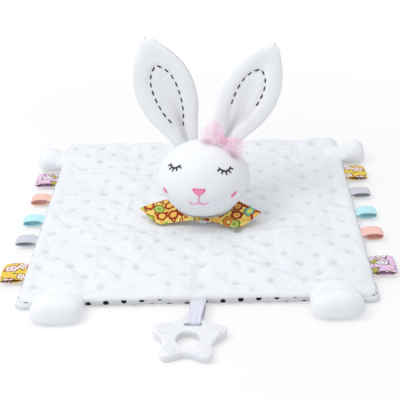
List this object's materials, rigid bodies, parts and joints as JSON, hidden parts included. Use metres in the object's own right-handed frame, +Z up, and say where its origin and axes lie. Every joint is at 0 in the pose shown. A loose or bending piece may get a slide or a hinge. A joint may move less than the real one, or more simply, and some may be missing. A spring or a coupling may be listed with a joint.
{
  "type": "comfort blanket lovey",
  "caption": "Padded square comfort blanket with a stuffed rabbit head in the middle, sewn paws, folded ribbon tags along its sides and a star teether on a ribbon.",
  "frame": {"origin": "middle of the blanket's flat underside, on the surface that it lies on", "axes": "+Z up, -Y towards the front edge with the feet and the teether, +X towards the viewer's right"},
  "size_m": [0.328, 0.3512, 0.1645],
  "materials": {
    "plush": "white dotted plush",
    "dotted_cotton": "white cotton with small black dots",
    "wadding": "polyester fill",
    "velour": "white short pile velour",
    "black_thread": "black embroidery thread",
    "pink_thread": "pink embroidery thread",
    "tulle": "pink tulle",
    "floral_cotton": "yellow cotton with a flower print",
    "pink_print": "pink ribbon with a print",
    "yellow_print": "yellow ribbon with a print",
    "coral_satin": "coral satin ribbon",
    "cyan_satin": "pale blue satin ribbon",
    "grey_satin": "grey satin ribbon",
    "white_ribbon": "white satin ribbon",
    "silicone": "satin white silicone"
  },
  "bodies": {
    "blanket": {"blanket_top": "plush", "blanket_back": "dotted_cotton", "blanket_wadding": "wadding"},
    "neck": {"neck_gather": "velour", "collar": "floral_cotton", "collar_thread": "floral_cotton"},
    "head_core": {"head_stuffing": "wadding"},
    "head": {"head_cover": "velour", "left_eye_embroidery": "black_thread", "right_eye_embroidery": "black_thread", "nose_embroidery": "pink_thread", "mouth_embroidery": "pink_thread", "left_cheek_mark": "pink_thread", "right_cheek_mark": "pink_thread", "tulle_bow": "tulle", "bow_tie": "pink_thread"},
    "left_ear": {"left_ear_cover": "velour", "left_ear_wadding": "wadding", "left_ear_stitches": "black_thread"},
    "right_ear": {"right_ear_cover": "velour", "right_ear_wadding": "wadding", "right_ear_stitches": "black_thread"},
    "left_foot": {"left_foot_cover": "plush", "left_foot_stuffing": "wadding"},
    "right_foot": {"right_foot_cover": "plush", "right_foot_stuffing": "wadding"},
    "left_hand": {"left_hand_cover": "plush", "left_hand_stuffing": "wadding"},
    "right_hand": {"right_hand_cover": "plush", "right_hand_stuffing": "wadding"},
    "left_pink_printed": {"left_pink_printed_tag": "pink_print"},
    "left_coral": {"left_coral_satin_tag": "coral_satin"},
    "left_cyan": {"left_cyan_satin_tag": "cyan_satin"},
    "left_grey": {"left_grey_satin_tag": "grey_satin"},
    "left_yellow_printed": {"left_yellow_printed_tag": "yellow_print"},
    "right_yellow_printed": {"right_yellow_printed_tag": "yellow_print"},
    "right_grey": {"right_grey_satin_tag": "grey_satin"},
    "right_cyan": {"right_cyan_satin_tag": "cyan_satin"},
    "right_coral": {"right_coral_satin_tag": "coral_satin"},
    "right_pink_printed": {"right_pink_printed_tag": "pink_print"},
    "ribbon": {"teether_ribbon": "white_ribbon"},
    "teether": {"star_teether": "silicone"}
  },
  "joints": [
    {"name": "head_turn", "type": "hinge", "parent": "blanket", "child": "neck", "pos_m": [0.0055, -0.018, 0.047], "axis": [0, 0, 1], "range_deg": [-25, 25], "stiffness_Nm_per_rad": 0.08},
    {"name": "head_tilt", "type": "hinge", "parent": "neck", "child": "head_core", "pos_m": [0.0055, -0.018, 0.047], "axis": [0, 1, 0], "range_deg": [-10, 10], "stiffness_Nm_per_rad": 0.08},
    {"name": "head_nod", "type": "hinge", "parent": "head_core", "child": "head", "pos_m": [0.0055, -0.018, 0.047], "axis": [1, 0, 0], "range_deg": [-15, 15], "stiffness_Nm_per_rad": 0.08},
    {"name": "left_ear_flop", "type": "hinge", "parent": "head", "child": "left_ear", "pos_m": [-0.01048, -0.00054, 0.07956], "axis": [0.937, -0.068, 0.3428], "range_deg": [-45, 45], "stiffness_Nm_per_rad": 0.02},
    {"name": "right_ear_flop", "type": "hinge", "parent": "head", "child": "right_ear", "pos_m": [0.02514, -0.00073, 0.07804], "axis": [0.8692, 0.068, -0.4898], "range_deg": [-45, 40], "stiffness_Nm_per_rad": 0.02, "deforming": ["tulle_bow"]},
    {"name": "left_foot_fold", "type": "hinge", "parent": "blanket", "child": "left_foot", "pos_m": [-0.107, -0.1428, 0.0055], "axis": [-1, 0, 0], "range_deg": [-45, 75], "stiffness_Nm_per_rad": 0.006},
    {"name": "right_foot_fold", "type": "hinge", "parent": "blanket", "child": "right_foot", "pos_m": [0.107, -0.1428, 0.0055], "axis": [-1, 0, 0], "range_deg": [-45, 75], "stiffness_Nm_per_rad": 0.006},
    {"name": "left_hand_fold", "type": "hinge", "parent": "blanket", "child": "left_hand", "pos_m": [-0.1428, 0.1065, 0.0055], "axis": [0, 1, 0], "range_deg": [-45, 75], "stiffness_Nm_per_rad": 0.006},
    {"name": "right_hand_fold", "type": "hinge", "parent": "blanket", "child": "right_hand", "pos_m": [0.1428, 0.1065, 0.0055], "axis": [0, -1, 0], "range_deg": [-45, 75], "stiffness_Nm_per_rad": 0.006},
    {"name": "left_pink_printed_flip", "type": "hinge", "parent": "blanket", "child": "left_pink_printed", "pos_m": [-0.1415, 0.069, 0.0055], "axis": [0, 1, 0], "range_deg": [-75, 85], "stiffness_Nm_per_rad": 0.001},
    {"name": "left_coral_flip", "type": "hinge", "parent": "blanket", "child": "left_coral", "pos_m": [-0.1415, 0.029, 0.0055], "axis": [0, 1, 0], "range_deg": [-75, 85], "stiffness_Nm_per_rad": 0.001},
    {"name": "left_cyan_flip", "type": "hinge", "parent": "blanket", "child": "left_cyan", "pos_m": [-0.1415, -0.01, 0.0055], "axis": [0, 1, 0], "range_deg": [-75, 85], "stiffness_Nm_per_rad": 0.001},
    {"name": "left_grey_flip", "type": "hinge", "parent": "blanket", "child": "left_grey", "pos_m": [-0.1415, -0.0455, 0.0055], "axis": [0, 1, 0], "range_deg": [-75, 85], "stiffness_Nm_per_rad": 0.001},
    {"name": "left_yellow_printed_flip", "type": "hinge", "parent": "blanket", "child": "left_yellow_printed", "pos_m": [-0.1415, -0.096, 0.0055], "axis": [0, 1, 0], "range_deg": [-75, 85], "stiffness_Nm_per_rad": 0.001},
    {"name": "right_yellow_printed_flip", "type": "hinge", "parent": "blanket", "child": "right_yellow_printed", "pos_m": [0.1415, 0.069, 0.0055], "axis": [0, -1, 0], "range_deg": [-75, 85], "stiffness_Nm_per_rad": 0.001},
    {"name": "right_grey_flip", "type": "hinge", "parent": "blanket", "child": "right_grey", "pos_m": [0.1415, 0.029, 0.0055], "axis": [0, -1, 0], "range_deg": [-75, 85], "stiffness_Nm_per_rad": 0.001},
    {"name": "right_cyan_flip", "type": "hinge", "parent": "blanket", "child": "right_cyan", "pos_m": [0.1415, -0.01, 0.0055], "axis": [0, -1, 0], "range_deg": [-75, 85], "stiffness_Nm_per_rad": 0.001},
    {"name": "right_coral_flip", "type": "hinge", "parent": "blanket", "child": "right_coral", "pos_m": [0.1415, -0.0455, 0.0055], "axis": [0, -1, 0], "range_deg": [-75, 85], "stiffness_Nm_per_rad": 0.001},
    {"name": "right_pink_printed_flip", "type": "hinge", "parent": "blanket", "child": "right_pink_printed", "pos_m": [0.1415, -0.096, 0.0055], "axis": [0, -1, 0], "range_deg": [-75, 85], "stiffness_Nm_per_rad": 0.001},
    {"name": "ribbon_lift", "type": "hinge", "parent": "blanket", "child": "ribbon", "pos_m": [0.0015, -0.1415, 0.0055], "axis": [-1, 0, 0], "range_deg": [-90, 110]},
    {"name": "teether_flip", "type": "hinge", "parent": "ribbon", "child": "teether", "pos_m": [-0.00202, -0.17464, 0.0047], "axis": [-1, 0, 0], "range_deg": [-50, 50], "deforming": ["teether_ribbon"]}
  ]
}
